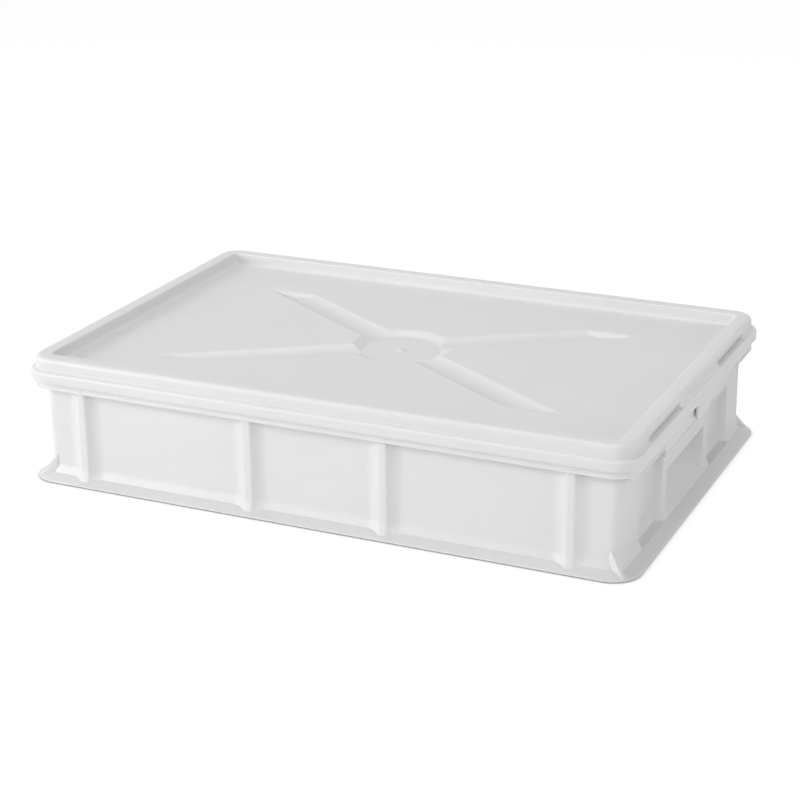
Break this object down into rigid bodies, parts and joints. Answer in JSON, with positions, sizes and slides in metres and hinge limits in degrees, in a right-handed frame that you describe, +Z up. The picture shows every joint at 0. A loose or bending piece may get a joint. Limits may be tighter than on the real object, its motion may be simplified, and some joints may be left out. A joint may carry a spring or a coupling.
{
  "type": "dough proofing box",
  "caption": "Shallow rectangular stacking tray with outside ribs, hand recesses and a sloping foot flange, closed by a lift-off lid with a raised edge and a sunken diagonal cross.",
  "frame": {"origin": "centre of the underside, on the surface that the box stands on", "axes": "+Z up out of the box, +X along its long side, +Y across it"},
  "size_m": [0.6, 0.4, 0.122],
  "materials": {
    "tray_plastic": "satin",
    "lid_plastic": "satin"
  },
  "bodies": {
    "tray": {"tray": "tray_plastic"},
    "lid": {"lid": "lid_plastic"}
  },
  "joints": [
    {"name": "lid_lift", "type": "slide", "parent": "tray", "child": "lid", "axis": [0, 0, 1], "range_m": [0, 0.08]}
  ]
}
